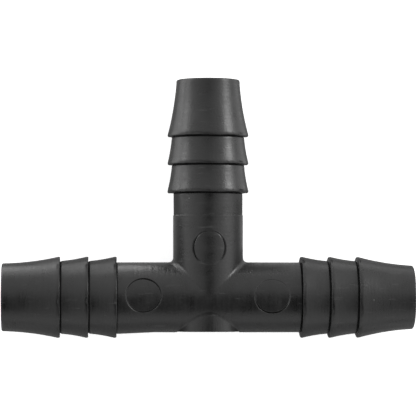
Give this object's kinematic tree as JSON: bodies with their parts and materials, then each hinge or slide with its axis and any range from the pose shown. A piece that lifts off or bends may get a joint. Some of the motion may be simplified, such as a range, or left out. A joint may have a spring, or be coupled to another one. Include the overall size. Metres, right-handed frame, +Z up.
{
  "type": "barbed tee connector",
  "caption": "Equal barbed tee for 13 mm irrigation hose: smooth round body with a ribbed hose tail on each arm.",
  "frame": {"origin": "the point where the axis of the run crosses the axis of the branch", "axes": "+X along the run towards the right spigot, +Y along the branch towards its mouth, +Z up out of the tee's plane, through the face with the round ejector marks"},
  "size_m": [0.076, 0.0477, 0.015],
  "materials": {
    "moulded_polypropylene": "black polypropylene as moulded, satin with faint flow marks"
  },
  "bodies": {
    "root": {"tee_body": "moulded_polypropylene", "left_spigot": "moulded_polypropylene", "right_spigot": "moulded_polypropylene", "branch_spigot": "moulded_polypropylene"}
  },
  "joints": []
}
